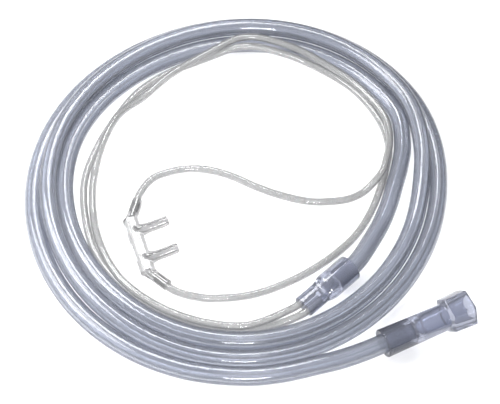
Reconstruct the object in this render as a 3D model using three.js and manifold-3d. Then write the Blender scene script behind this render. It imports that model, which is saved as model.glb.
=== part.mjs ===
// Nasal oxygen cannula, coiled as it lies on a table: an inlet connector, the supply tube in
// three turns, a Y connector, two lip tubes and the nosepiece with its two prongs.
// Millimetres, +Z up, the table at z = 0, the inlet connector's axis along +X.
import * as THREE from "three";
import { ConvexGeometry } from "three/addons/geometries/ConvexGeometry.js";
import { mergeVertices } from "three/addons/utils/BufferGeometryUtils.js";
import Module from "manifold-3d";

const wasm = await Module();
wasm.setup();

// Clearances
const touchGap = 0.3; // between pieces that touch
const tubeFit = 0.25; // all round a tube in its socket

// Tubing
const supplyOd = 7;
const lipOd = 3;

// Coil: centre line of the supply tube, measured from the coil's centre
const coilRadius = 82.4; // outer turn
const coilOval = 2.6; // the coil is longer than round along coilOvalAzimuth
const coilOvalAzimuth = 18;
const coilBulge = 0.5; // three-lobed part of its shape
const coilBulgeAzimuth = 17;
const coilLean = 0.8; // the whole coil lies this far out along coilLeanAzimuth
const coilLeanAzimuth = -55;
const lowAzimuth = -116; // here the turns lie side by side; opposite, the second rides on the others
const secondTurnLift = 5.5;
const liftFull = 120; // degrees past the low side where the second turn is fully up
const liftEnds = 240; // where it starts down
const liftGone = 285; // where it is down
const leadLift = 1.9; // the first turn starts this far up, as it comes from the inlet connector
const leadDown = 60;
const stationsPerTurn = 24;
const coilStations = 64; // 2 2/3 turns, the last ones before the tube leaves for the Y

// Inlet connector: a round body with a six-sided flared collar round its mouth
const inletPlace = new THREE.Vector2(15.2, -84.9); // narrow end, from the coil's centre
const inletLength = 36;
const inletOd = 10.7;
const inletWaistOd = 10.1;
const collarLength = 9;
const collarShoulder = 1.2;
const collarAcross = 13.2; // across flats at the mouth
const collarRootAcross = 12.4;
const mouthBore = 10;
const mouthBoreEnd = 6.6;
const mouthDepth = 20;
const inletSocketDepth = 12;
const inletLumen = 5;

// Y connector
const yPlace = new THREE.Vector2(19.8, -51.9); // wide end, from the coil's centre
const yAzimuth = 197.5; // the way the neck points
const yOd = 10.5;
const yBodyLength = 13;
const yShoulderLength = 3;
const yNeckLength = 9;
const yNeckHeight = 5;
const yWall = 0.6; // outside the two lip tube sockets
const yWeb = 0.35; // between them
const ySupplyDepth = 9;
const yLipDepth = 7;
const yChamber = 4.6;
const yBranch = 1.5; // from the chamber's end to the neck; the two lumens start as far again inside it
const lipLumen = 2;

// Nosepiece: a bar with a flat top, two bent sleeves and two curved prongs
const nosePlace = new THREE.Vector2(-48.1, -9.5); // middle of the bar, from the coil's centre
const noseAzimuth = -6.2; // the way the prongs point
const barLength = 23;
const barWidth = 6;
const barHeight = 5;
const barFlat = 2.6; // width of the flat on its top
const sleeveLength = 9.6;
const sleeveOd = 4.3;
const sleeveBend = 33;
const sleeveSocketDepth = 6;
const sleeveLead = 3.5; // the lip tube runs straight this far out of its sleeve
const prongSpacing = 12.6;
const prongLength = 10.5;
const prongOd = 4;
const prongBore = 2.4;
const prongRise = 2.2; // of the tip above the root
const prongRootOd = 5; // it flares where it meets the bar
const prongRootLength = 2.6;

const roundSides = 24;
const supplySides = 12;
const lipSides = 8;

// Materials
const tubeColour = 0xb9bdcd;
const mouldingColour = 0x8f94aa;
const noseColour = 0xd9dbe0;

function clearPlastic(colour) {
  return new THREE.MeshStandardMaterial({ color: colour, roughness: 0.15, metalness: 0 });
}

// A closed three.js geometry as a manifold solid.
function solid(geometry) {
  const bare = geometry.index ? geometry.toNonIndexed() : geometry.clone();
  bare.deleteAttribute("normal");
  bare.deleteAttribute("uv");
  const merged = mergeVertices(bare, 1e-4);
  return new wasm.Manifold(
    new wasm.Mesh({
      numProp: 3,
      vertProperties: new Float32Array(merged.attributes.position.array),
      triVerts: new Uint32Array(merged.index.array),
    }),
  );
}

// A manifold solid as a three.js geometry with flat normals.
function geometryOf(body) {
  const mesh = body.getMesh();
  const shared = new THREE.BufferGeometry();
  shared.setAttribute("position", new THREE.BufferAttribute(mesh.vertProperties, 3));
  shared.setIndex(new THREE.BufferAttribute(mesh.triVerts, 1));
  const flat = shared.toNonIndexed();
  flat.computeVertexNormals();
  return flat;
}

function join(pieces) {
  return pieces.reduce((all, piece) => all.add(piece));
}

function cut(body, holes) {
  return holes.reduce((rest, hole) => rest.subtract(hole), body);
}

// A round bar or cone along +X from x to x + length.
function roundAlongX(startRadius, endRadius, x, length, sides = roundSides) {
  const geometry = new THREE.CylinderGeometry(endRadius, startRadius, length, sides);
  geometry.rotateY(Math.PI / sides); // a flat side down, not a corner
  geometry.rotateZ(-Math.PI / 2);
  geometry.translate(x + length / 2, 0, 0);
  return geometry;
}

// A closed tube with one ring of its section at each point of its route.
function tubeAlong(points, diameter, sides) {
  const section = new THREE.Shape();
  section.setFromPoints(ringPoints(diameter / 2, sides));
  const route = new THREE.CatmullRomCurve3(points, false, "centripetal");
  route.getUtoTmapping = (u) => u; // rings at the points, not at equal lengths
  const steps = points.length - 1;
  return new THREE.ExtrudeGeometry(section, { steps, bevelEnabled: false, extrudePath: route });
}

function ringPoints(radius, sides) {
  const points = [];
  for (let i = 0; i < sides; i += 1) {
    const angle = (2 * Math.PI * i) / sides;
    points.push(new THREE.Vector2(radius * Math.cos(angle), radius * Math.sin(angle)));
  }
  return points;
}

function radians(degrees) {
  return THREE.MathUtils.degToRad(degrees);
}

function namedMesh(name, geometry, colour) {
  const mesh = new THREE.Mesh(geometry, clearPlastic(colour));
  mesh.name = name;
  return mesh;
}

// Coil: `turned` is how many degrees the tube has gone round, clockwise seen from above,
// past the low side. Its first 360 are the outer turn.
const strandPitch = supplyOd + touchGap;
const fullTurn = 360;

function azimuthAt(turned) {
  return radians(lowAzimuth - turned);
}

function rise(value, start, end) {
  return THREE.MathUtils.smoothstep(value, start, end);
}

function liftAt(turned) {
  const round = turned % fullTurn;
  return secondTurnLift * rise(round, 0, liftFull) * (1 - rise(round, liftEnds, liftGone));
}

function coilRadiusAt(turned) {
  const azimuth = azimuthAt(turned);
  const oval = coilOval * Math.cos(2 * (azimuth - radians(coilOvalAzimuth)));
  const bulge = coilBulge * Math.cos(3 * (azimuth - radians(coilBulgeAzimuth)));
  const lean = coilLean * Math.cos(azimuth - radians(coilLeanAzimuth));
  const sideways = Math.sqrt(strandPitch ** 2 - liftAt(turned) ** 2);
  return coilRadius + oval + bulge + lean - (sideways * turned) / fullTurn;
}

function polar(radius, azimuth, z) {
  return new THREE.Vector3(radius * Math.cos(azimuth), radius * Math.sin(azimuth), z);
}

function coilPoint(turned) {
  const isSecondTurn = turned > fullTurn && turned < 2 * fullTurn;
  const up = isSecondTurn ? liftAt(turned) : leadLift * (1 - rise(turned, 0, leadDown));
  const z = supplyOd / 2 + up;
  return polar(coilRadiusAt(turned), azimuthAt(turned), z);
}

// Inlet connector, along +X from its narrow end
const inletHeight = collarAcross / 2;

function hexAcross(across) {
  return across / 2 / Math.cos(Math.PI / 6);
}

function inletConnector() {
  const past = 1;
  const collarStart = inletLength - collarLength;
  const shoulderStart = collarStart - collarShoulder;
  const body = roundAlongX(inletOd / 2, inletWaistOd / 2, 0, shoulderStart);
  const waistRadius = inletWaistOd / 2;
  const waist = roundAlongX(waistRadius, waistRadius, shoulderStart, collarShoulder + past);
  const rootRadius = hexAcross(collarRootAcross);
  const shoulder = roundAlongX(inletWaistOd / 2, rootRadius, shoulderStart, collarShoulder, 6);
  const collar = roundAlongX(rootRadius, hexAcross(collarAcross), collarStart, collarLength, 6);
  const shape = join([solid(body), solid(waist), solid(shoulder), solid(collar)]);

  const taper = (mouthBore - mouthBoreEnd) / 2 / mouthDepth;
  const mouthStart = inletLength - mouthDepth;
  const funnelRadius = mouthBore / 2 + taper * past;
  const funnel = roundAlongX(mouthBoreEnd / 2, funnelRadius, mouthStart, mouthDepth + past);
  const socketRadius = supplyOd / 2 + tubeFit;
  const socket = roundAlongX(socketRadius, socketRadius, -past, inletSocketDepth + past);
  const lumenStart = inletSocketDepth - past;
  const lumen = roundAlongX(inletLumen / 2, inletLumen / 2, lumenStart, mouthStart + past - lumenStart);
  const mesh = namedMesh(
    "inlet_connector",
    geometryOf(cut(shape, [solid(funnel), solid(socket), solid(lumen)])),
    mouldingColour,
  );
  mesh.position.set(inletPlace.x, inletPlace.y, inletHeight);
  return mesh;
}

// Y connector, along +X from its wide end to the end of its neck
const lipSocketRadius = lipOd / 2 + tubeFit;
const lipSpread = 2 * lipSocketRadius + yWeb; // between the two lip tubes in the neck
const yLength = yBodyLength + yShoulderLength + yNeckLength;
const yNeckWidth = lipSpread + 2 * (lipSocketRadius + yWall);
const yHeight = yOd / 2;

function stadium(width, height) {
  const radius = height / 2;
  const reach = width / 2 - radius;
  const outline = new THREE.Shape();
  outline.absarc(reach, 0, radius, -Math.PI / 2, Math.PI / 2, false);
  outline.absarc(-reach, 0, radius, Math.PI / 2, (3 * Math.PI) / 2, false);
  return outline;
}

function alongX(geometry, x) {
  geometry.rotateX(Math.PI / 2);
  geometry.rotateZ(Math.PI / 2);
  geometry.translate(x, 0, 0);
  return geometry;
}

function yConnector() {
  const past = 1;
  const neckOutline = stadium(yNeckWidth, yNeckHeight);
  const neckStart = yBodyLength + yShoulderLength;
  const body = roundAlongX(yOd / 2, yOd / 2, 0, yBodyLength);
  const neckExtrude = { depth: yNeckLength + past, bevelEnabled: false, curveSegments: 8 };
  const neck = alongX(new THREE.ExtrudeGeometry(neckOutline, neckExtrude), neckStart - past);
  const shoulderPoints = [
    ...ringPoints(yOd / 2, roundSides).map((p) => new THREE.Vector3(yBodyLength - past, p.x, p.y)),
    ...ringPoints(yOd / 2, roundSides).map((p) => new THREE.Vector3(yBodyLength, p.x, p.y)),
    ...neckOutline.getPoints(8).map((p) => new THREE.Vector3(neckStart, p.x, p.y)),
  ];
  const shoulder = new ConvexGeometry(shoulderPoints);
  const shape = join([solid(body), solid(neck), solid(shoulder)]);

  const supplyRadius = supplyOd / 2 + tubeFit;
  const chamberStart = ySupplyDepth - past;
  const chamberEnd = neckStart - yBranch;
  const holes = [
    solid(roundAlongX(supplyRadius, supplyRadius, -past, ySupplyDepth + past)),
    solid(roundAlongX(yChamber / 2, yChamber / 2, chamberStart, chamberEnd - chamberStart)),
  ];
  for (const side of [-1, 1]) {
    const socketStart = yLength - yLipDepth;
    const lumenStart = chamberEnd - yBranch;
    const lumenLength = socketStart + past - lumenStart;
    const socket = roundAlongX(lipSocketRadius, lipSocketRadius, socketStart, yLipDepth + past);
    const lumen = roundAlongX(lipLumen / 2, lipLumen / 2, lumenStart, lumenLength);
    for (const hole of [socket, lumen]) {
      hole.translate(0, (side * lipSpread) / 2, 0);
      holes.push(solid(hole));
    }
  }
  const mesh = namedMesh("y_connector", geometryOf(cut(shape, holes)), mouldingColour);
  mesh.position.set(yPlace.x, yPlace.y, yHeight);
  mesh.rotation.z = radians(yAzimuth);
  return mesh;
}

// A place on the Y, in the coil's frame: along its axis and to its left.
function onY(along, left) {
  const point = new THREE.Vector3(along, left, 0);
  point.applyAxisAngle(new THREE.Vector3(0, 0, 1), radians(yAzimuth));
  return point.add(new THREE.Vector3(yPlace.x, yPlace.y, yHeight));
}

// Nosepiece: prongs along +X, the bar along Y, its axis at the height of its own middle
const noseHeight = barHeight / 2;

function barOutline() {
  const side = (barWidth - barFlat) / 2;
  const corner = barHeight * 0.3;
  const outline = new THREE.Shape();
  outline.moveTo(-barFlat / 2, barHeight / 2);
  outline.lineTo(-barFlat / 2 - side, barHeight / 2 - corner);
  outline.lineTo(-barWidth / 2, -barHeight / 2 + corner);
  outline.lineTo(-barFlat / 2, -barHeight / 2);
  outline.lineTo(barFlat / 2, -barHeight / 2);
  outline.lineTo(barWidth / 2, -barHeight / 2 + corner);
  outline.lineTo(barFlat / 2 + side, barHeight / 2 - corner);
  outline.lineTo(barFlat / 2, barHeight / 2);
  outline.closePath();
  return outline;
}

// A round bar from the end of the nosepiece's bar, out along its sleeve.
function onSleeve(end, radius, from, length) {
  const geometry = roundAlongX(radius, radius, from, length, 16);
  geometry.rotateZ(end * radians(90 - sleeveBend));
  geometry.translate(0, (end * barLength) / 2, 0);
  return geometry;
}

function nosepiece() {
  const past = 1;
  const bar = new THREE.ExtrudeGeometry(barOutline(), { depth: barLength, bevelEnabled: false });
  bar.translate(0, 0, -barLength / 2);
  bar.rotateX(Math.PI / 2);
  const pieces = [solid(bar)];
  const barLumen = new THREE.CylinderGeometry(lipLumen / 2, lipLumen / 2, barLength, 12);
  const holes = [solid(barLumen)];
  for (const end of [-1, 1]) {
    const knee = new THREE.SphereGeometry(sleeveOd / 2, 16, 12);
    knee.translate(0, (end * barLength) / 2, 0);
    pieces.push(solid(knee), solid(onSleeve(end, sleeveOd / 2, 0, sleeveLength)));
    const socketStart = sleeveLength - sleeveSocketDepth;
    holes.push(solid(onSleeve(end, lipSocketRadius, socketStart, sleeveSocketDepth + past)));
    holes.push(solid(onSleeve(end, lipLumen / 2, -0.3, socketStart + 0.3 + past / 2)));
  }
  for (const side of [-1, 1]) {
    const y = (side * prongSpacing) / 2;
    const bend = new THREE.QuadraticBezierCurve3(
      new THREE.Vector3(0, y, 0),
      new THREE.Vector3(prongLength * 0.6, y, prongRise * 0.2),
      new THREE.Vector3(barWidth / 2 + prongLength, y, prongRise),
    );
    pieces.push(solid(tubeAlong(bend.getPoints(6), prongOd, 16)));
    const rootEnd = barWidth / 2 + prongRootLength;
    const root = roundAlongX(prongRootOd / 2, prongOd / 2, past, rootEnd - past, 16);
    root.translate(0, y, 0);
    pieces.push(solid(root));
    const last = bend.getPoint(1);
    const beyond = last.clone().add(bend.getTangent(1).multiplyScalar(past));
    holes.push(solid(tubeAlong([...bend.getPoints(6), beyond], prongBore, 12)));
  }
  const mesh = namedMesh("nosepiece", geometryOf(cut(join(pieces), holes)), noseColour);
  mesh.position.set(nosePlace.x, nosePlace.y, noseHeight);
  mesh.rotation.z = radians(noseAzimuth);
  return mesh;
}

// A place on the axis of a sleeve, in the coil's frame. `end` is 1 for the upper sleeve.
function onNoseSleeve(end, along) {
  const point = new THREE.Vector3(along, 0, 0);
  point.applyAxisAngle(new THREE.Vector3(0, 0, 1), end * radians(90 - sleeveBend));
  point.y += (end * barLength) / 2;
  point.applyAxisAngle(new THREE.Vector3(0, 0, 1), radians(noseAzimuth));
  return point.add(new THREE.Vector3(nosePlace.x, nosePlace.y, noseHeight));
}

// Supply tube: from the inlet connector to the coil, round it, and back in to the Y
const floorSupply = supplyOd / 2;
const leadPoints = [
  [7, -84.7, 6.5],
  [-1.5, -83.9, 6.3],
  [-11, -82.1, 6],
  [-24, -79.3, 5.6],
];
const tailPoints = [
  [67, -10, floorSupply],
  [60.8, -18.6, floorSupply],
  [54.2, -25.9, floorSupply],
  [47.9, -32.6, floorSupply],
  [41, -38.8, floorSupply],
  [33, -44.6, 4.2],
];

function supplyRoute() {
  const inSocket = inletSocketDepth - touchGap;
  const points = [
    new THREE.Vector3(inletPlace.x + inSocket, inletPlace.y, inletHeight),
    new THREE.Vector3(inletPlace.x, inletPlace.y, inletHeight),
  ];
  points.push(...leadPoints.map((p) => new THREE.Vector3(...p)));
  for (let i = 0; i <= coilStations; i += 1) {
    points.push(coilPoint((fullTurn * i) / stationsPerTurn));
  }
  points.push(...tailPoints.map((p) => new THREE.Vector3(...p)));
  points.push(onY(-3, 0), onY(ySupplyDepth - touchGap, 0));
  return points;
}

const floorLip = lipOd / 2;

// Lip tubes beside the third turn. Each station gives the degrees past the low side and then, for
// the right tube and the left one, how far in from that turn's centre line and how high it lies.
const lipTrack = [
  [0, 5, floorLip, 5.2, 4.9],
  [15, 5, floorLip, 5.2, 4.9],
  [30, 5, floorLip, 5.2, 4.9],
  [45, 5, floorLip, 5.4, 4.9],
  [60, 5.1, floorLip, 7.6, 3.8],
  [75, 6.6, floorLip, 9.8, floorLip],
  [90, 7.6, floorLip, 11, floorLip],
  [105, 9.2, floorLip, 11.4, 4.3],
  [120, 8.9, floorLip, 10.2, 4.7],
  [135, 6.3, floorLip, 9.9, 2.2],
  [150, 5.1, floorLip, 7.6, 3.8],
  [165, 5.3, 3.5, 5.7, 6.9],
  [180, 4.1, 7.1, 0.8, 9],
  [195, 5.2, 5.2, 2.8, 8.3],
  [210, 5.3, 1.8, 4.8, 6],
  [225, 6, floorLip, 5.4, 4.9],
  [240, 7.4, floorLip, 5.9, 4.7],
];

function lipTrackPoint(isLeft, [turned, rightIn, rightUp, leftIn, leftUp]) {
  const inward = isLeft ? leftIn : rightIn;
  const z = isLeft ? leftUp : rightUp;
  return polar(coilRadiusAt(turned + 2 * fullTurn) - inward, azimuthAt(turned), z);
}

const leftFromY = [
  [-11.8, -58.4, 5.4],
  [-19.7, -58.4, 5.2],
];
const rightFromY = [
  [-11.3, -61.3, 3.8],
  [-19.3, -59.6, 1.9],
];
const leftToNose = [
  [62.8, -6.3, 4.8],
  [57.5, -13.5, 4.9],
  [52.6, -18.6, 4.6],
  [47.2, -21, 2.8],
  [42, -22.6, floorLip],
  [36.4, -23, floorLip],
  [31.5, -22.1, floorLip],
  [27, -20.6, floorLip],
  [22.2, -18.5, floorLip],
  [17.4, -15.4, floorLip],
  [12.7, -11.5, floorLip],
  [8.3, -7.3, floorLip],
  [3.3, -1.6, floorLip],
  [-1.6, 4.7, floorLip],
  [-6.7, 9.7, floorLip],
  [-11.6, 13.2, floorLip],
  [-17.8, 15.9, floorLip],
  [-24.8, 17.1, 1.7],
  [-31.5, 16.6, 2],
];
const rightToNose = [
  [62.2, -7.6, floorLip],
  [56.8, -15.3, floorLip],
  [50.8, -22.2, floorLip],
  [45.6, -27.4, floorLip],
  [40.2, -32, floorLip],
  [34, -36.4, floorLip],
  [27.2, -39.9, floorLip],
  [18.8, -42.8, floorLip],
  [10.5, -44.7, floorLip],
  [2.5, -45.8, floorLip],
  [-5.5, -46.2, floorLip],
  [-13.5, -45.9, floorLip],
  [-21, -44.6, floorLip],
  [-28.4, -42.2, 1.7],
  [-35.2, -39.2, 2],
];

function lipRoute(isLeft) {
  const side = isLeft ? -1 : 1;
  const end = isLeft ? 1 : -1;
  const fromY = isLeft ? leftFromY : rightFromY;
  const toNose = isLeft ? leftToNose : rightToNose;
  return [
    onY(yLength - yLipDepth + touchGap, (side * lipSpread) / 2),
    onY(yLength + 1, (side * lipSpread) / 2),
    ...fromY.map((p) => new THREE.Vector3(...p)),
    ...lipTrack.map((station) => lipTrackPoint(isLeft, station)),
    ...toNose.map((p) => new THREE.Vector3(...p)),
    onNoseSleeve(end, sleeveLength + sleeveLead),
    onNoseSleeve(end, sleeveLength - sleeveSocketDepth + touchGap),
  ];
}

const mouldings = [inletConnector(), yConnector(), nosepiece()];
const tubes = [
  namedMesh("supply_tube", tubeAlong(supplyRoute(), supplyOd, supplySides), tubeColour),
  namedMesh("lip_tube_left", tubeAlong(lipRoute(true), lipOd, lipSides), tubeColour),
  namedMesh("lip_tube_right", tubeAlong(lipRoute(false), lipOd, lipSides), tubeColour),
];

// The part's origin is on the table under the middle of the box round its three mouldings.
const mouldingBox = new THREE.Box3();
for (const moulding of mouldings) {
  moulding.updateMatrixWorld(true);
  mouldingBox.expandByObject(moulding, true);
}
const middle = mouldingBox.getCenter(new THREE.Vector3());

const cannula = new THREE.Group();
cannula.add(...mouldings, ...tubes);
cannula.position.set(-middle.x, -middle.y, 0);

export default cannula;
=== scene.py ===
import math
import bpy
import numpy as np
from mathutils import Matrix, Vector


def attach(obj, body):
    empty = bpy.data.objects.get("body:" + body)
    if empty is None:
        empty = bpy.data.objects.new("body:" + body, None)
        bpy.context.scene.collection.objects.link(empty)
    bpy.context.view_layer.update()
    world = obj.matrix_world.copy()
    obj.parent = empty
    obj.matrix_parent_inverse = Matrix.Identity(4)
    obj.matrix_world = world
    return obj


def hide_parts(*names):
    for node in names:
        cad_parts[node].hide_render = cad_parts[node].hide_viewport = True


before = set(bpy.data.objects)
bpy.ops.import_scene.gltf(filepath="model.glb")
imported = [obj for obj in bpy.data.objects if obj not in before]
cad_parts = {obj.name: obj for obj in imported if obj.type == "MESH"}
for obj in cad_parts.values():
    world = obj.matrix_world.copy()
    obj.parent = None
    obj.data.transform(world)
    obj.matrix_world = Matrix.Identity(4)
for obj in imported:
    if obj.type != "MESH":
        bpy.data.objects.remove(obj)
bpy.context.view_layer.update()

scene = bpy.context.scene
millimetre = 0.001

# Nasal oxygen cannula, coiled as it lies on a table: clear tubing, two connectors and a nosepiece.
# Sizes below are in millimetres. The routes are those of the CAD source, measured from the coil's
# centre, and this is where that centre lies in the part's frame.
coilCentre = np.array([0.56222, 40.90803, 0.0])


# Camera: at the photograph's angle, above and to the lower right of the coil
camera = {
    "aim": (0.238, 33.262, 0.0),
    "azimuth": -121.0,
    "elevation": 58.0,
    "distance": 463.0,
    "roll": 6.0,
    "lens": 85.0,
    "nearest": 0.01,    # metres
}


def makeCamera(values):
    azimuth, elevation, roll = (math.radians(values[k]) for k in ("azimuth", "elevation", "roll"))
    out = Vector((
        math.cos(elevation) * math.cos(azimuth),
        math.cos(elevation) * math.sin(azimuth),
        math.sin(elevation),
    ))
    right = Vector((-math.sin(azimuth), math.cos(azimuth), 0.0))
    up = out.cross(right)
    rolledRight = right * math.cos(roll) + up * math.sin(roll)
    rolledUp = out.cross(rolledRight)
    place = (Vector(values["aim"]) + out * values["distance"]) * millimetre
    data = bpy.data.cameras.new("Camera")
    data.lens = values["lens"]
    data.clip_start = values["nearest"]
    cameraObject = bpy.data.objects.new("Camera", data)
    scene.collection.objects.link(cameraObject)
    turn = Matrix((rolledRight, rolledUp, out)).transposed().to_4x4()
    cameraObject.matrix_world = Matrix.Translation(place) @ turn
    scene.camera = cameraObject
    print("camera made")


makeCamera(camera)


# Shared mesh tools

def newMesh(name, vertices, faces, smooth=True):
    # A mesh object from an array of places in millimetres and one of faces.
    mesh = bpy.data.meshes.new(name)
    mesh.from_pydata((vertices * millimetre).tolist(), [], [list(face) for face in faces])
    mesh.polygons.foreach_set("use_smooth", [smooth] * len(mesh.polygons))
    mesh.update()
    piece = bpy.data.objects.new(name, mesh)
    scene.collection.objects.link(piece)
    return piece


def gridFaces(rings, sides, closedRings):
    # Four-sided faces of a grid that closes round its sides, and also end to end if closedRings.
    ring = np.arange(rings if closedRings else rings - 1)[:, None]
    side = np.arange(sides)[None, :]
    nextRing = (ring + 1) % rings
    nextSide = (side + 1) % sides
    corners = [
        ring * sides + side,
        ring * sides + nextSide,
        nextRing * sides + nextSide,
        nextRing * sides + side,
    ]
    return np.stack([np.broadcast_to(c, (len(ring), sides)).ravel() for c in corners], axis=1)


def roundAcross(angle, side, up):
    # Unit vectors round a route: cosine of the angle along side plus its sine along up.
    c, s = np.cos(angle)[None, :, None], np.sin(angle)[None, :, None]
    return c * side[:, None, :] + s * up[:, None, :]


def smoothRoute(points, pieces):
    # Centripetal Catmull-Rom curve through the points: each stretch is blended from its four
    # neighbours with knots a square root of the distance apart.
    points = np.asarray(points, float)
    first = 2 * points[0] - points[1]
    last = 2 * points[-1] - points[-2]
    extended = np.vstack([first, points, last])
    p0, p1, p2, p3 = (extended[i : len(extended) - 3 + i, None, :] for i in range(4))

    def knot(a, b):
        return np.sqrt(np.linalg.norm(b - a, axis=2, keepdims=True)) + 1e-9

    t1 = knot(p0, p1)
    t2 = t1 + knot(p1, p2)
    t3 = t2 + knot(p2, p3)
    t = t1 + (t2 - t1) * (np.arange(pieces) / pieces)[None, :, None]
    a1 = (t1 - t) / t1 * p0 + t / t1 * p1
    a2 = (t2 - t) / (t2 - t1) * p1 + (t - t1) / (t2 - t1) * p2
    a3 = (t3 - t) / (t3 - t2) * p2 + (t - t2) / (t3 - t2) * p3
    b1 = (t2 - t) / t2 * a1 + t / t2 * a2
    b2 = (t3 - t) / (t3 - t1) * a2 + (t - t1) / (t3 - t1) * a3
    curve = (t2 - t) / (t2 - t1) * b1 + (t - t1) / (t2 - t1) * b2
    curve[..., 2] = np.maximum(curve[..., 2], points[:, 2].min())
    return np.vstack([curve.reshape(-1, 3), points[-1:]])


def routeFrames(route):
    # Tangent, side and up of each point of a route that stays near level: side is tangent x Z.
    tangent = np.gradient(route, axis=0)
    tangent /= np.linalg.norm(tangent, axis=1, keepdims=True)
    side = np.cross(tangent, [0.0, 0.0, 1.0])
    side /= np.linalg.norm(side, axis=1, keepdims=True)
    return tangent, side, np.cross(side, tangent)


def addCoordinates(piece, places):
    # Stores a vector at each vertex, for patterns that follow the way a piece was drawn or
    # moulded.
    attribute = piece.data.attributes.new("drawn", "FLOAT_VECTOR", "POINT")
    attribute.data.foreach_set("vector", np.ascontiguousarray(places, dtype=np.float32).ravel())


def hollowTube(name, route, outerRadius, lumenRadius, sides):
    # A tube wall carried along a route: outer and inner rings at each point, closed by a ring
    # across the wall at both ends. lumenRadius is a function of the angle round the bore.
    tangent, side, up = routeFrames(route)
    angle = np.linspace(0, 2 * np.pi, sides, endpoint=False)
    across = roundAcross(angle, side, up)
    outer = route[:, None, :] + outerRadius * across
    inner = route[:, None, :] + lumenRadius(angle)[None, :, None] * across
    rings = np.concatenate([outer, inner[::-1]], axis=0)
    tube = newMesh(name, rings.reshape(-1, 3), gridFaces(len(rings), sides, True)[:, ::-1])
    step = np.linalg.norm(np.diff(route, axis=0), axis=1)
    along = np.concatenate([[0], np.cumsum(step)])
    along = np.concatenate([along, along[::-1]])
    drawn = np.stack([
        np.broadcast_to(np.cos(angle), (len(along), sides)),
        np.broadcast_to(np.sin(angle), (len(along), sides)),
        np.broadcast_to(along[:, None] * tubing["drawnScale"], (len(along), sides)),
    ], axis=2)
    addCoordinates(tube, drawn)
    return tube


# Tubing and its routes, as in part.mjs
tubing = {
    "supplyDiameter": 7.0,
    "supplyBore": 4.5,
    "starRibs": 5,        # the supply tube's bore is a star, so that a kink can't close it
    "starDepth": 0.16,
    "lipDiameter": 3.0,
    "lipBore": 1.9,
    "touchGap": 0.3,
    "drawnScale": 0.0002,    # along the tube, against 1 across it: the draw lines are long
    "supplyPieces": 8,       # rings from one station to the next
    "lipPieces": 6,
    "supplySides": 40,
    "lipSides": 24,
}

coil = {
    "radius": 82.4,
    "oval": 2.6,
    "ovalAzimuth": 18.0,
    "bulge": 0.5,
    "bulgeAzimuth": 17.0,
    "lean": 0.8,
    "leanAzimuth": -55.0,
    "lowAzimuth": -116.0,
    "secondTurnLift": 5.5,
    "liftFull": 120.0,
    "liftEnds": 240.0,
    "liftGone": 285.0,
    "leadLift": 1.9,
    "leadDown": 60.0,
    "stationStep": 15.0,
    "turned": 960.0,
    "fullTurn": 360.0,
}

inlet = {
    "place": (15.2, -84.9),
    "length": 36.0,
    "diameter": 10.7,
    "waistDiameter": 10.1,
    "collarLength": 9.0,
    "shoulder": 1.2,
    "collarAcross": 13.2,
    "collarRootAcross": 12.4,
    "mouthBore": 10.0,
    "mouthBoreEnd": 6.6,
    "mouthDepth": 20.0,
    "mouthFlare": 0.25,        # the mouth's very edge opens by this, over the flare's depth
    "mouthFlareDepth": 0.4,
    "mouthTaper": 0.6,         # the bore narrows by this, over the taper's depth
    "mouthTaperDepth": 7.0,
    "throatLead": 0.5,
    "throatEase": 0.04,
    "socketDepth": 12.0,
    "socketEdge": 0.3,
    "step": 0.2,               # the bore's steps slope by this
    "lumen": 5.0,
    "tubeFit": 0.25,
    "edge": 0.35,              # radius of its outer edges
    "cornerSoftness": 0.12,    # how far the collar's corners are drawn in
    "cornerRound": 1.06,       # the radius that they are drawn towards, for a half width of 1
    "edgeRings": 5,
    "bodyRings": 26,
    "shoulderRings": 10,
    "collarRings": 14,
    "sides": 96,
}

yPiece = {
    "place": (19.8, -51.9),
    "azimuth": 197.5,
    "diameter": 10.5,
    "bodyLength": 13.0,
    "shoulderLength": 3.0,
    "neckLength": 9.0,
    "neckHeight": 5.0,
    "wall": 0.6,
    "web": 0.35,
    "supplyDepth": 9.0,
    "lipDepth": 7.0,
    "chamber": 4.6,
    "lumen": 2.0,
    "branch": 1.5,         # from the chamber's end to the neck
    "supplyLead": 3.0,     # the tubes run straight this far outside their sockets
    "lipLead": 1.0,
    "endRound": 0.25,
    "endRoundDepth": 0.3,
    "blendBefore": 1.0,    # the flattening starts this far before the shoulder
    "blendPast": 0.5,      # and ends this far past it
    "neckSquareness": 0.22,
    "ringsFrom": 1.0,      # even rings start this far in, and end as far past the shoulder
    "rings": 34,
    "sides": 64,
}

nose = {
    "place": (-48.1, -9.5),
    "azimuth": -6.2,
    "barLength": 23.0,
    "barWidth": 6.0,
    "barHeight": 5.0,
    "barCrown": 1.12,      # the section's ellipse is this much higher than the bar, and cut off flat
    "barOver": 0.6,        # the bar runs this far into its sleeves
    "sleeveLength": 9.6,
    "sleeveDiameter": 4.3,
    "sleeveBend": 33.0,
    "sleeveRoot": [(-1.6, -0.6), (-0.8, 0.1), (0, 0.2), (3, 0)],    # place along, and how much wider
    "sleeveEnd": [(-0.2, 0), (0, -0.15)],                           # the same, from its end
    "socketDepth": 6.0,
    "sleeveLead": 3.5,
    "lumenInBar": 0.3,     # the sleeve's lumen starts inside the bar, and runs into the socket
    "lumenInSocket": 0.5,
    "prongSpacing": 12.6,
    "prongLength": 10.5,
    "prongDiameter": 4.0,
    "prongBore": 2.4,
    "prongRise": 2.2,
    "prongReach": 0.6,     # the bend's middle handle, in parts of the length and of the rise
    "prongBow": 0.2,
    "prongRings": 14,
    "tipRound": 0.2,
    "rootDiameter": 5.0,
    "rootLength": 2.6,
    "rootFlare": 0.25,
    "flareStart": 1.5,
}

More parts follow.
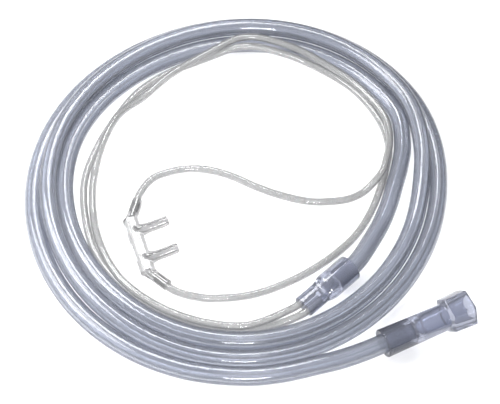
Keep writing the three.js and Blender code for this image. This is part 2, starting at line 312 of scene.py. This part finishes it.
floorSupply = tubing["supplyDiameter"] / 2
floorLip = tubing["lipDiameter"] / 2
supplySocketRadius = tubing["supplyDiameter"] / 2 + inlet["tubeFit"]
lipSocketRadius = tubing["lipDiameter"] / 2 + inlet["tubeFit"]
lipSpread = 2 * lipSocketRadius + yPiece["web"]
yLength = yPiece["bodyLength"] + yPiece["shoulderLength"] + yPiece["neckLength"]


def turnFlat(points, degrees):
    # Points turned about Z.
    angle = math.radians(degrees)
    c, s = math.cos(angle), math.sin(angle)
    return np.asarray(points, float) @ np.array([[c, s, 0], [-s, c, 0], [0, 0, 1.0]])


def onY(points):
    # Places on the Y connector, given along its axis from the wide end and to its left, in the
    # coil's frame.
    return turnFlat(points, yPiece["azimuth"]) + np.array([*yPiece["place"], yPiece["diameter"] / 2])


def onNose(points):
    # Places on the nosepiece, prongs along X and bar along Y, in the coil's frame.
    return turnFlat(points, nose["azimuth"]) + np.array([*nose["place"], nose["barHeight"] / 2])


def sleevePlace(end, along):
    # Places on a sleeve's axis, on the nosepiece: end is 1 for the upper sleeve, -1 for the
    # lower.
    angle = end * math.radians(90 - nose["sleeveBend"])
    along = np.atleast_1d(along)
    return np.stack([
        along * math.cos(angle),
        end * nose["barLength"] / 2 + along * math.sin(angle),
        np.zeros(len(along)),
    ], axis=1)


def coilRadiusAt(turned):
    # Radius of the supply tube's centre line where it has gone `turned` degrees past the low
    # side: a circle with two-lobed and three-lobed waves, less one strand's sideways pitch for
    # each full turn.
    azimuth = np.radians(coil["lowAzimuth"] - turned)
    lift = secondTurnLiftAt(turned)
    pitch = tubing["supplyDiameter"] + tubing["touchGap"]
    sideways = np.sqrt(pitch**2 - lift**2)
    oval = coil["oval"] * np.cos(2 * (azimuth - math.radians(coil["ovalAzimuth"])))
    bulge = coil["bulge"] * np.cos(3 * (azimuth - math.radians(coil["bulgeAzimuth"])))
    lean = coil["lean"] * np.cos(azimuth - math.radians(coil["leanAzimuth"]))
    return coil["radius"] + oval + bulge + lean - sideways * turned / coil["fullTurn"]


def easeBetween(x, start, end):
    # 0 before start, 1 after end, and a smooth S between.
    t = np.clip((x - start) / (end - start), 0, 1)
    return t * t * (3 - 2 * t)


def secondTurnLiftAt(turned):
    # How far the second turn rides up: an S up from the low side, level, and an S down again.
    turned = turned % coil["fullTurn"]
    down = easeBetween(turned, coil["liftEnds"], coil["liftGone"])
    return coil["secondTurnLift"] * easeBetween(turned, 0, coil["liftFull"]) * (1 - down)


def polarPlaces(radius, turned, height):
    azimuth = np.radians(coil["lowAzimuth"] - turned)
    return np.stack([radius * np.cos(azimuth), radius * np.sin(azimuth), height], axis=1)


supplyLead = [(7, -84.7, 6.5), (-1.5, -83.9, 6.3), (-11, -82.1, 6), (-24, -79.3, 5.6)]
supplyTail = [
    (67, -10, floorSupply), (60.8, -18.6, floorSupply), (54.2, -25.9, floorSupply),
    (47.9, -32.6, floorSupply), (41, -38.8, floorSupply), (33, -44.6, 4.2),
]


def supplyRoute():
    inSocket = inlet["socketDepth"] - tubing["touchGap"]
    height = inlet["collarAcross"] / 2
    x, y = inlet["place"]
    turned = np.arange(0, coil["turned"] + 1, coil["stationStep"])
    isSecond = (turned > coil["fullTurn"]) & (turned < 2 * coil["fullTurn"])
    lead = coil["leadLift"] * (1 - easeBetween(turned, 0, coil["leadDown"]))
    up = np.where(isSecond, secondTurnLiftAt(turned), lead)
    turns = polarPlaces(coilRadiusAt(turned), turned, floorSupply + up)
    intoY = onY([(-yPiece["supplyLead"], 0, 0), (yPiece["supplyDepth"] - tubing["touchGap"], 0, 0)])
    fromInlet = [(x + inSocket, y, height), (x, y, height)]
    stations = np.vstack([fromInlet, supplyLead, turns, supplyTail, intoY])
    return smoothRoute(stations, tubing["supplyPieces"])


# At each station: degrees past the low side; then, for the right tube and the left one, how far in
# from the third turn's centre line and how high above the floor, as in part.mjs
lipTrack = np.array([
    (0, 5, floorLip, 5.2, 4.9), (15, 5, floorLip, 5.2, 4.9), (30, 5, floorLip, 5.2, 4.9),
    (45, 5, floorLip, 5.4, 4.9), (60, 5.1, floorLip, 7.6, 3.8), (75, 6.6, floorLip, 9.8, floorLip),
    (90, 7.6, floorLip, 11, floorLip), (105, 9.2, floorLip, 11.4, 4.3),
    (120, 8.9, floorLip, 10.2, 4.7), (135, 6.3, floorLip, 9.9, 2.2), (150, 5.1, floorLip, 7.6, 3.8),
    (165, 5.3, 3.5, 5.7, 6.9), (180, 4.1, 7.1, 0.8, 9), (195, 5.2, 5.2, 2.8, 8.3),
    (210, 5.3, 1.8, 4.8, 6), (225, 6, floorLip, 5.4, 4.9), (240, 7.4, floorLip, 5.9, 4.7),
])
leftFromY = [(-11.8, -58.4, 5.4), (-19.7, -58.4, 5.2)]
rightFromY = [(-11.3, -61.3, 3.8), (-19.3, -59.6, 1.9)]
leftToNose = [
    (62.8, -6.3, 4.8), (57.5, -13.5, 4.9), (52.6, -18.6, 4.6), (47.2, -21, 2.8), (42, -22.6, floorLip),
    (36.4, -23, floorLip), (31.5, -22.1, floorLip), (27, -20.6, floorLip), (22.2, -18.5, floorLip),
    (17.4, -15.4, floorLip), (12.7, -11.5, floorLip), (8.3, -7.3, floorLip), (3.3, -1.6, floorLip),
    (-1.6, 4.7, floorLip), (-6.7, 9.7, floorLip), (-11.6, 13.2, floorLip), (-17.8, 15.9, floorLip),
    (-24.8, 17.1, 1.7), (-31.5, 16.6, 2),
]
rightToNose = [
    (62.2, -7.6, floorLip), (56.8, -15.3, floorLip), (50.8, -22.2, floorLip), (45.6, -27.4, floorLip),
    (40.2, -32, floorLip), (34, -36.4, floorLip), (27.2, -39.9, floorLip), (18.8, -42.8, floorLip),
    (10.5, -44.7, floorLip), (2.5, -45.8, floorLip), (-5.5, -46.2, floorLip), (-13.5, -45.9, floorLip),
    (-21, -44.6, floorLip), (-28.4, -42.2, 1.7), (-35.2, -39.2, 2),
]


def lipRoute(isLeft):
    turned, rightIn, rightUp, leftIn, leftUp = lipTrack.T
    inward, height = (leftIn, leftUp) if isLeft else (rightIn, rightUp)
    track = polarPlaces(coilRadiusAt(turned + 2 * coil["fullTurn"]) - inward, turned, height)
    side, end = (-1, 1) if isLeft else (1, -1)
    left = side * lipSpread / 2
    socketFloor = yLength - yPiece["lipDepth"]
    fromSocket = onY([
        (socketFloor + tubing["touchGap"], left, 0),
        (yLength + yPiece["lipLead"], left, 0),
    ])
    intoSleeve = onNose(sleevePlace(end, [
        nose["sleeveLength"] + nose["sleeveLead"],
        nose["sleeveLength"] - nose["socketDepth"] + tubing["touchGap"],
    ]))
    stations = np.vstack([
        fromSocket, leftFromY if isLeft else rightFromY, track,
        leftToNose if isLeft else rightToNose, intoSleeve,
    ])
    return smoothRoute(stations, tubing["lipPieces"])


def starBore(angle):
    # The supply tube's bore: a circle with a cosine wave for each rib of the star.
    return tubing["supplyBore"] / 2 * (1 + tubing["starDepth"] * np.cos(tubing["starRibs"] * angle))


def roundBore(angle):
    return np.full(len(angle), tubing["lipBore"] / 2)


def makeCord(name, route, diameter, bore, sides):
    places = route + coilCentre
    tube = hollowTube(name + "_visual", places, diameter / 2, bore, sides)
    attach(tube, "root")
    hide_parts(name)
    return tube


supplyTube = makeCord(
    "supply_tube", supplyRoute(), tubing["supplyDiameter"], starBore, tubing["supplySides"],
)
leftTube = makeCord(
    "lip_tube_left", lipRoute(True), tubing["lipDiameter"], roundBore, tubing["lipSides"],
)
rightTube = makeCord(
    "lip_tube_right", lipRoute(False), tubing["lipDiameter"], roundBore, tubing["lipSides"],
)


# Inlet connector

def hexagonAt(angle):
    # Distance from the middle to the side of a hexagon of half width 1, with softened corners.
    folded = (angle + np.pi / 6) % (np.pi / 3) - np.pi / 6
    sharp = 1 / np.cos(folded)
    softness = inlet["cornerSoftness"]
    return sharp * (1 - softness) + inlet["cornerRound"] * softness


def makeInlet():
    # Outside, mouth, bore and narrow end are one closed grid: the distance from the axis is a
    # function of the place along the profile and of the angle round it, round in the body and
    # blending to a hexagon in the collar.
    length = inlet["length"]
    collarStart = length - inlet["collarLength"]
    shoulderStart = collarStart - inlet["shoulder"]
    edge = inlet["edge"]
    outX = np.concatenate([
        np.linspace(0, edge, inlet["edgeRings"]),
        np.linspace(edge, shoulderStart, inlet["bodyRings"])[1:],
        np.linspace(shoulderStart, collarStart, inlet["shoulderRings"])[1:],
        np.linspace(collarStart, length - edge, inlet["collarRings"])[1:],
        length - edge + edge * np.sin(np.linspace(0, np.pi / 2, inlet["edgeRings"]))[1:],
    ])
    fromStart = (edge - np.minimum(outX, edge)) / edge
    fromMouth = (np.maximum(outX, length - edge) - length + edge) / edge
    startEdge = np.sqrt(np.clip(1 - fromStart**2, 0, 1)) - 1
    mouthEdge = np.sqrt(np.clip(1 - fromMouth**2, 0, 1)) - 1
    narrowing = inlet["waistDiameter"] - inlet["diameter"]
    taper = (inlet["diameter"] + narrowing * outX / shoulderStart) / 2
    body = np.where(outX < shoulderStart, taper, inlet["waistDiameter"] / 2)
    collarSizes = [inlet["collarRootAcross"], inlet["collarAcross"]]
    across = np.interp(outX, [collarStart, length], collarSizes) / 2
    isCollar = easeBetween(outX, shoulderStart, collarStart)
    angle = np.linspace(0, 2 * np.pi, inlet["sides"], endpoint=False)
    hexagon = hexagonAt(angle)[None, :] * across[:, None]
    outer = body[:, None] * (1 - isCollar[:, None]) + hexagon * isCollar[:, None]
    outer += edge * (startEdge + mouthEdge)[:, None]

    throat = length - inlet["mouthDepth"]
    mouthRadius, throatRadius = inlet["mouthBore"] / 2, inlet["mouthBoreEnd"] / 2
    lumenRadius = inlet["lumen"] / 2
    innerProfile = np.array([
        (length, mouthRadius + inlet["mouthFlare"]),
        (length - inlet["mouthFlareDepth"], mouthRadius),
        (length - inlet["mouthTaperDepth"], mouthRadius - inlet["mouthTaper"]),
        (throat + inlet["throatLead"], throatRadius + inlet["throatEase"]),
        (throat, throatRadius),
        (throat - inlet["step"], lumenRadius),
        (inlet["socketDepth"] + inlet["step"], lumenRadius),
        (inlet["socketDepth"], supplySocketRadius - inlet["step"]),
        (inlet["socketDepth"] - inlet["socketEdge"], supplySocketRadius),
        (inlet["socketEdge"], supplySocketRadius),
        (0, supplySocketRadius + inlet["step"]),
    ])
    inner = np.repeat(innerProfile[:, 1:], len(angle), axis=1)
    radius = np.vstack([outer, inner])
    x = np.concatenate([outX, innerProfile[:, 0]])
    rings = np.stack([
        np.repeat(x[:, None], len(angle), axis=1),
        radius * np.sin(angle)[None, :],
        radius * np.cos(angle)[None, :],
    ], axis=2)
    middle = np.array([*inlet["place"], inlet["collarAcross"] / 2]) + coilCentre
    places = rings.reshape(-1, 3) + middle
    piece = newMesh("inlet_connector_visual", places, gridFaces(len(x), len(angle), True)[:, ::-1])
    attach(piece, "root")
    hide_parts("inlet_connector")
    print("inlet connector made")
    return piece


# Y connector and nosepiece: rough solids fused and cut, then remeshed fine and smoothed, as a moulding

def roundRings(x, radius, sides=48):
    # Rings about X: a circle of the given radius at each x.
    angle = np.linspace(0, 2 * np.pi, sides, endpoint=False)
    circle = np.stack([np.zeros(sides), radius * np.cos(angle), radius * np.sin(angle)], axis=1)
    return np.asarray(x, float)[:, None, None] * np.array([1.0, 0, 0]) + circle[None, :, :]


def cappedSolid(name, rings):
    # A closed mesh from rings, with a centre point at each end.
    count, sides = rings.shape[:2]
    vertices = np.vstack([rings.reshape(-1, 3), rings[0].mean(0)[None], rings[-1].mean(0)[None]])
    quads = gridFaces(count, sides, False)
    side = np.arange(sides)
    following = (side + 1) % sides
    startCap = np.stack([following, side, np.full(sides, count * sides)], axis=1)
    last = (count - 1) * sides
    endCap = np.stack([last + side, last + following, np.full(sides, count * sides + 1)], axis=1)
    return newMesh(name, vertices, quads.tolist() + startCap.tolist() + endCap.tolist(), smooth=False)


def alongRoute(route, radius, sides=32):
    # Rings along a route, as for a tube, with one radius or a radius at each point.
    tangent, side, up = routeFrames(route)
    angle = np.linspace(0, 2 * np.pi, sides, endpoint=False)
    across = roundAcross(angle, side, -up)
    radii = np.broadcast_to(radius, len(route))
    return route[:, None, :] + radii[:, None, None] * across


def applyModifiers(piece):
    shaped = piece.evaluated_get(bpy.context.evaluated_depsgraph_get())
    mesh = bpy.data.meshes.new_from_object(shaped)
    old = piece.data
    piece.modifiers.clear()
    piece.data = mesh
    mesh.name = piece.name
    bpy.data.meshes.remove(old)


mouldingFinish = {
    "cutPast": 1.0,    # holes run this far past the face or the hollow that they open into
    "voxel": 0.16,
    "smoothFactor": 0.5,
    "smoothing": 4,
}


def moulding(name, solids, holes):
    # One moulded piece: the solids joined, the holes cut from them, and the edges softened by a
    # fine voxel remesh and a smooth.
    piece = solids[0]
    piece.name = name
    for operation, others in (("UNION", solids[1:]), ("DIFFERENCE", holes)):
        for other in others:
            boolean = piece.modifiers.new("boolean", "BOOLEAN")
            boolean.operation = operation
            boolean.object = other
            boolean.solver = "EXACT"
            applyModifiers(piece)
            bpy.data.objects.remove(other, do_unlink=True)
    remesh = piece.modifiers.new("remesh", "REMESH")
    remesh.mode = "VOXEL"
    remesh.voxel_size = mouldingFinish["voxel"] * millimetre
    remesh.use_smooth_shade = True
    soften = piece.modifiers.new("soften", "SMOOTH")
    soften.factor = mouldingFinish["smoothFactor"]
    soften.iterations = mouldingFinish["smoothing"]
    applyModifiers(piece)
    return piece


def placeMesh(piece, place):
    # Moves the mesh itself, through the given function of its places in millimetres.
    mesh = piece.data
    count = len(mesh.vertices)
    flat = np.empty(count * 3)
    mesh.vertices.foreach_get("co", flat)
    moved = place(flat.reshape(-1, 3) / millimetre) + coilCentre
    mesh.vertices.foreach_set("co", (moved * millimetre).ravel())
    mesh.update()


def makeY():
    # The outside is one solid: a superellipse section whose half width, half height and
    # squareness go from the round body to the flattened neck over the shoulder.
    neckStart = yPiece["bodyLength"] + yPiece["shoulderLength"]
    neckWidth = lipSpread + 2 * (lipSocketRadius + yPiece["wall"])
    edge, first, sides = (yPiece[k] for k in ("endRoundDepth", "ringsFrom", "sides"))
    even = np.linspace(first, neckStart + first, yPiece["rings"])
    x = np.concatenate([[0, edge], even, [yLength - edge, yLength]])
    blendStart = yPiece["bodyLength"] - yPiece["blendBefore"]
    blend = easeBetween(x, blendStart, neckStart + yPiece["blendPast"])[:, None]
    endRound = np.where((x == 0) | (x == yLength), yPiece["endRound"], 0)[:, None]
    halfWidth = yPiece["diameter"] / 2 * (1 - blend) + neckWidth / 2 * blend - endRound
    halfHeight = yPiece["diameter"] / 2 * (1 - blend) + yPiece["neckHeight"] / 2 * blend - endRound
    squareness = 1 - yPiece["neckSquareness"] * blend
    angle = np.linspace(0, 2 * np.pi, sides, endpoint=False)[None, :]
    c, s = np.cos(angle), np.sin(angle)
    rings = np.stack([
        np.repeat(x[:, None], sides, axis=1),
        halfWidth * np.sign(c) * np.abs(c) ** squareness,
        halfHeight * np.sign(s) * np.abs(s) ** squareness,
    ], axis=2)
    solids = [cappedSolid("y_connector_visual", rings)]
    past = mouldingFinish["cutPast"]
    supplyFloor = yPiece["supplyDepth"]
    chamberEnd = neckStart - yPiece["branch"]
    lumenStart = chamberEnd - yPiece["branch"]
    lipFloor = yLength - yPiece["lipDepth"]
    chamber = roundRings([supplyFloor - past, chamberEnd], yPiece["chamber"] / 2)
    holes = [
        cappedSolid("supplySocket", roundRings([-past, supplyFloor], supplySocketRadius)),
        cappedSolid("chamber", chamber),
    ]
    for side in (-1, 1):
        sideways = np.array([0, side * lipSpread / 2, 0])
        socket = roundRings([lipFloor, yLength + past], lipSocketRadius, sides=32)
        lumen = roundRings([lumenStart, lipFloor + past], yPiece["lumen"] / 2, sides=24)
        holes.append(cappedSolid("lipSocket", socket + sideways))
        holes.append(cappedSolid("lipLumen", lumen + sideways))
    piece = moulding("y_connector_visual", solids, holes)
    placeMesh(piece, onY)
    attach(piece, "root")
    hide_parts("y_connector")
    print("Y connector made")
    return piece


def barSection(sides=64):
    # The bar's section: an ellipse whose top is cut off flat.
    angle = np.linspace(0, 2 * np.pi, sides, endpoint=False)
    width = nose["barWidth"] / 2 * np.cos(angle)
    height = nose["barHeight"] / 2 * nose["barCrown"] * np.sin(angle)
    return width, np.clip(height, -nose["barHeight"] / 2, nose["barHeight"] / 2)


def makeNose():
    # Bar, two sleeves and two prongs as solids along their own axes, fused and bored.
    width, height = barSection()
    reach = nose["barLength"] / 2 + nose["barOver"]
    y = np.linspace(-reach, reach, 12)
    bar = np.stack([
        np.repeat(-width[None, :], len(y), axis=0),
        np.repeat(y[:, None], len(width), axis=1),
        np.repeat(height[None, :], len(y), axis=0),
    ], axis=2)
    solids = [cappedSolid("nosepiece_visual", bar)]
    lumenRadius = yPiece["lumen"] / 2
    core = np.stack([np.zeros(2), np.array([-1, 1]) * nose["barLength"] / 2, np.zeros(2)], axis=1)
    holes = [cappedSolid("barLumen", alongRoute(core, lumenRadius))]
    sleeveEnd = nose["sleeveLength"]
    socketStart = sleeveEnd - nose["socketDepth"]
    rootAlong, rootWider = np.transpose(nose["sleeveRoot"])
    endAlong, endWider = np.transpose(nose["sleeveEnd"])
    sleeveAlong = np.concatenate([rootAlong, sleeveEnd + endAlong])
    sleeveRadii = nose["sleeveDiameter"] / 2 + np.concatenate([rootWider, endWider])
    for end in (-1, 1):
        outside = sleevePlace(end, sleeveAlong)
        socket = sleevePlace(end, [socketStart, sleeveEnd + mouldingFinish["cutPast"]])
        lumen = sleevePlace(end, [-nose["lumenInBar"], socketStart + nose["lumenInSocket"]])
        solids.append(cappedSolid("sleeve", alongRoute(outside, sleeveRadii)))
        holes.append(cappedSolid("sleeveSocket", alongRoute(socket, lipSocketRadius)))
        holes.append(cappedSolid("sleeveLumen", alongRoute(lumen, lumenRadius)))
    tip = nose["barWidth"] / 2 + nose["prongLength"]
    t = np.linspace(0, 1, nose["prongRings"])
    alongX = 2 * (1 - t) * t * nose["prongLength"] * nose["prongReach"] + t**2 * tip
    rise = 2 * (1 - t) * t * nose["prongRise"] * nose["prongBow"] + t**2 * nose["prongRise"]
    prongRadius = nose["prongDiameter"] / 2
    rootReach = nose["barWidth"] / 2 + nose["rootLength"]
    fullFlare = nose["rootDiameter"] / 2 - prongRadius + nose["rootFlare"]
    flare = fullFlare * (1 - easeBetween(alongX, nose["flareStart"], rootReach))
    tipRound = np.where(t == 1, nose["tipRound"], 0.0)
    for side in (-1, 1):
        y = np.full(len(t), side * nose["prongSpacing"] / 2)
        middle = np.stack([alongX, y, rise], axis=1)
        solids.append(cappedSolid("prong", alongRoute(middle, prongRadius + flare - tipRound)))
        beyond = middle[-1] + (middle[-1] - middle[-2])
        bore = np.vstack([middle, beyond])
        holes.append(cappedSolid("prongBore", alongRoute(bore, nose["prongBore"] / 2)))
    piece = moulding("nosepiece_visual", solids, holes)
    placeMesh(piece, onNose)
    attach(piece, "root")
    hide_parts("nosepiece")
    print("nosepiece made")
    return piece


inletPiece = makeInlet()
yConnector = makeY()
nosepiece = makeNose()


# Materials: clear soft PVC. The tubing has fine draw lines along it, and the mouldings a faint flow.
# Every piece is painted darker towards its edges, as painted shade.

# Each plastic's edge colour is painted shade. It is mixed in towards the edges, to draw the dark lines
# that clear edges show under light.
plastics = {
    "supplyPvc": {
        "colour": (0.48, 0.50, 0.555), "edge": (0.07, 0.075, 0.10), "transmission": 0.84, "ior": 1.45,
        "roughness": 0.09, "streaks": 2.6, "mottle": 0.02, "relief": 0.05,
    },
    "lipPvc": {
        "colour": (0.54, 0.543, 0.546), "edge": (0.12, 0.12, 0.125), "transmission": 0.78, "ior": 1.42,
        "roughness": 0.09, "streaks": 0.4, "mottle": 0.02, "relief": 0.03,
    },
    "connectorPvc": {
        "colour": (0.455, 0.475, 0.56), "edge": (0.04, 0.045, 0.07), "transmission": 0.88, "ior": 1.5,
        "roughness": 0.07, "streaks": 0.0, "mottle": 0.06, "relief": 0.1,
    },
    "nosePvc": {
        "colour": (0.52, 0.52, 0.525), "edge": (0.03, 0.03, 0.034), "transmission": 0.9, "ior": 1.5,
        "roughness": 0.08, "streaks": 0.0, "mottle": 0.05, "relief": 0.1,
    },
}
finish = {
    "shadowLightness": 0.8,    # how much light a clear piece lets through to the floor
    # the Layer Weight blend that shapes the painted edge shade
    "paintedEdgeShadeBlend": 0.5,
    "paintedEdgeShadePower": 1.4,          # the painted edge shade keeps nearer the edge as this grows
    "drawLineScale": 4.5,
    "mottlingScale": 140.0,
    "noiseDetail": 4.0,
    "mottlingRelief": 0.3,
    "bumpDistance": 0.0002,    # metres
}


def makeSurfaceGroup():
    # Shared surface of clear PVC: the tint times 1 plus streaks and mottling, a roughness that
    # varies with the mottling, and a height of fine draw lines and flow.
    group = bpy.data.node_groups.new("clearPvcSurface", "ShaderNodeTree")
    face = group.interface
    for socketName, kind in (
        ("Tint", "NodeSocketColor"), ("Streaks", "NodeSocketFloat"), ("Mottle", "NodeSocketFloat"),
        ("Roughness", "NodeSocketFloat"), ("Drawn", "NodeSocketVector"), ("Place", "NodeSocketVector"),
    ):
        face.new_socket(name=socketName, in_out="INPUT", socket_type=kind)
    for socketName, kind in (
        ("Color", "NodeSocketColor"), ("Roughness", "NodeSocketFloat"), ("Height", "NodeSocketFloat"),
    ):
        face.new_socket(name=socketName, in_out="OUTPUT", socket_type=kind)
    nodes, links = group.nodes, group.links
    given = nodes.new("NodeGroupInput")
    out = nodes.new("NodeGroupOutput")

    def noise(vector, scale):
        node = nodes.new("ShaderNodeTexNoise")
        node.inputs["Scale"].default_value = scale
        node.inputs["Detail"].default_value = finish["noiseDetail"]
        links.new(vector, node.inputs["Vector"])
        return node.outputs["Fac"]

    def arithmetic(operation, a, b):
        node = nodes.new("ShaderNodeMath")
        node.operation = operation
        for socket, value in zip(node.inputs, (a, b)):
            if isinstance(value, (int, float)):
                socket.default_value = value
            else:
                links.new(value, socket)
        return node.outputs[0]

    drawLines = noise(given.outputs["Drawn"], finish["drawLineScale"])
    mottling = noise(given.outputs["Place"], finish["mottlingScale"])
    lineOffset = arithmetic("SUBTRACT", drawLines, 0.5)
    mottleOffset = arithmetic("SUBTRACT", mottling, 0.5)
    lineShade = arithmetic("MULTIPLY", lineOffset, given.outputs["Streaks"])
    mottleShade = arithmetic("MULTIPLY", mottleOffset, given.outputs["Mottle"])
    shade = arithmetic("ADD", arithmetic("ADD", lineShade, mottleShade), 1.0)
    scaled = nodes.new("ShaderNodeVectorMath")
    scaled.operation = "SCALE"
    links.new(given.outputs["Tint"], scaled.inputs[0])
    links.new(shade, scaled.inputs["Scale"])
    links.new(scaled.outputs[0], out.inputs["Color"])
    rough = arithmetic("MULTIPLY", given.outputs["Roughness"], arithmetic("ADD", mottling, 0.5))
    links.new(rough, out.inputs["Roughness"])
    lineHeight = arithmetic("MULTIPLY", drawLines, given.outputs["Streaks"])
    mottleHeight = arithmetic("MULTIPLY", mottling, finish["mottlingRelief"])
    height = arithmetic("ADD", lineHeight, mottleHeight)
    links.new(height, out.inputs["Height"])
    return group


surfaceGroup = makeSurfaceGroup()


def clearPvc(name, values):
    material = bpy.data.materials.new(name)
    material.use_nodes = True
    nodes, links = material.node_tree.nodes, material.node_tree.links
    shader = nodes["Principled BSDF"]
    shader.inputs["Transmission Weight"].default_value = values["transmission"]
    shader.inputs["IOR"].default_value = values["ior"]
    surface = nodes.new("ShaderNodeGroup")
    surface.node_tree = surfaceGroup
    surface.inputs["Tint"].default_value = (*values["colour"], 1)
    surface.inputs["Streaks"].default_value = values["streaks"]
    surface.inputs["Mottle"].default_value = values["mottle"]
    surface.inputs["Roughness"].default_value = values["roughness"]
    drawn = nodes.new("ShaderNodeAttribute")
    drawn.attribute_name = "drawn"
    coordinates = nodes.new("ShaderNodeTexCoord")
    links.new(drawn.outputs["Vector"], surface.inputs["Drawn"])
    links.new(coordinates.outputs["Object"], surface.inputs["Place"])

    # Towards an edge, as the face turns from the camera, the tint is mixed to the much darker edge
    # colour. This is partly the deeper tint of a longer path through the plastic, and mostly painted
    # shade for the dark lines that clear edges show.
    facing = nodes.new("ShaderNodeLayerWeight")
    facing.inputs["Blend"].default_value = finish["paintedEdgeShadeBlend"]
    sharper = nodes.new("ShaderNodeMath")
    sharper.operation = "POWER"
    sharper.inputs[1].default_value = finish["paintedEdgeShadePower"]
    links.new(facing.outputs["Facing"], sharper.inputs[0])
    paintedEdgeShadeMix = nodes.new("ShaderNodeMix")
    paintedEdgeShadeMix.data_type = "RGBA"
    amount, middleTint, paintedEdgeShade = (socket for socket in paintedEdgeShadeMix.inputs if socket.enabled)
    paintedEdgeShade.default_value = (*values["edge"], 1)
    links.new(sharper.outputs[0], amount)
    links.new(surface.outputs["Color"], middleTint)
    tintWithPaintedEdgeShade = next(socket for socket in paintedEdgeShadeMix.outputs if socket.enabled)
    links.new(tintWithPaintedEdgeShade, shader.inputs["Base Color"])
    links.new(surface.outputs["Roughness"], shader.inputs["Roughness"])
    bump = nodes.new("ShaderNodeBump")
    bump.inputs["Strength"].default_value = values["relief"]
    bump.inputs["Distance"].default_value = finish["bumpDistance"]
    links.new(surface.outputs["Height"], bump.inputs["Height"])
    links.new(bump.outputs["Normal"], shader.inputs["Normal"])

    # Shadow rays pass nearly straight through, as real light does between the many clear walls
    path = nodes.new("ShaderNodeLightPath")
    through = nodes.new("ShaderNodeMath")
    through.operation = "MULTIPLY"
    through.inputs[1].default_value = finish["shadowLightness"]
    links.new(path.outputs["Is Shadow Ray"], through.inputs[0])
    clear = nodes.new("ShaderNodeBsdfTransparent")
    mixed = nodes.new("ShaderNodeMixShader")
    links.new(through.outputs[0], mixed.inputs["Fac"])
    links.new(shader.outputs[0], mixed.inputs[1])
    links.new(clear.outputs[0], mixed.inputs[2])
    links.new(mixed.outputs[0], nodes["Material Output"].inputs["Surface"])
    return material


def dress(piece, material):
    piece.data.materials.clear()
    piece.data.materials.append(material)


supplyPvc, lipPvc, connectorPvc, nosePvc = (clearPvc(name, plastics[name]) for name in plastics)
dress(supplyTube, supplyPvc)
dress(leftTube, lipPvc)
dress(rightTube, lipPvc)
dress(inletPiece, connectorPvc)
dress(yConnector, connectorPvc)
dress(nosepiece, nosePvc)
print("materials made")


# Floor and light: a white floor under a sky that is dark near the horizon, so that clear edges draw a
# line, a soft lamp low on the left, which leaves the right side darker, and two that draw highlights
# on the coil's front and back

studio = {
    "floorSize": 6.0,
    "floorColour": (0.94, 0.94, 0.94),
    "floorRoughness": 0.9,
    "floorShine": 0.1,
    "floorDrop": 0.02,       # below the part's lowest point
    "skyStrength": 0.26,
    "skyColour": (0.97, 0.98, 1.0),
    "horizonColour": (0.03, 0.035, 0.05),
    "horizonStart": 0.05,    # sines of the elevations between which the sky lightens
    "horizonTop": 0.45,
    "lamps": {
        "left": {"place": (-0.2, 0.13, 0.26), "size": (0.2, 0.2), "power": 1.55},
        "back": {"place": (0.04, 0.2, 0.3), "size": (0.12, 0.12), "power": 0.65},
        "front": {"place": (-0.28, -0.68, 0.5), "size": (0.24, 0.12), "power": 4.6},
    },
}


def makeStudio():
    half = studio["floorSize"] / 2
    corners = np.array([(-half, -half, 0), (half, -half, 0), (half, half, 0), (-half, half, 0)])
    drop = np.array([0, 0, -studio["floorDrop"]])
    floor = newMesh("floor", corners / millimetre + drop, [(0, 1, 2, 3)], smooth=False)
    material = bpy.data.materials.new("floorPaper")
    material.use_nodes = True
    shader = material.node_tree.nodes["Principled BSDF"]
    shader.inputs["Base Color"].default_value = (*studio["floorColour"], 1)
    shader.inputs["Roughness"].default_value = studio["floorRoughness"]
    shader.inputs["Specular IOR Level"].default_value = studio["floorShine"]
    floor.data.materials.append(material)

    world = bpy.data.worlds.new("studio")
    world.use_nodes = True
    nodes, links = world.node_tree.nodes, world.node_tree.links
    background = nodes["Background"]
    background.inputs["Strength"].default_value = studio["skyStrength"]
    coordinates = nodes.new("ShaderNodeTexCoord")
    height = nodes.new("ShaderNodeSeparateXYZ")
    links.new(coordinates.outputs["Generated"], height.inputs[0])
    ramp = nodes.new("ShaderNodeValToRGB")
    ramp.color_ramp.interpolation = "EASE"
    ramp.color_ramp.elements[0].position = studio["horizonStart"]
    ramp.color_ramp.elements[0].color = (*studio["horizonColour"], 1)
    ramp.color_ramp.elements[1].position = studio["horizonTop"]
    ramp.color_ramp.elements[1].color = (*studio["skyColour"], 1)
    links.new(height.outputs["Z"], ramp.inputs["Fac"])
    links.new(ramp.outputs["Color"], background.inputs["Color"])
    scene.world = world

    for name, values in studio["lamps"].items():
        light = bpy.data.lights.new(name, "AREA")
        light.shape = "RECTANGLE"
        light.size, light.size_y = values["size"]
        light.energy = values["power"]
        lamp = bpy.data.objects.new(name, light)
        lamp.location = values["place"]
        lamp.visible_camera = False
        lamp.rotation_euler = Vector(values["place"]).to_track_quat("Z", "Y").to_euler()
        scene.collection.objects.link(lamp)
    scene.view_settings.view_transform = "Standard"
    print("studio made")


makeStudio()
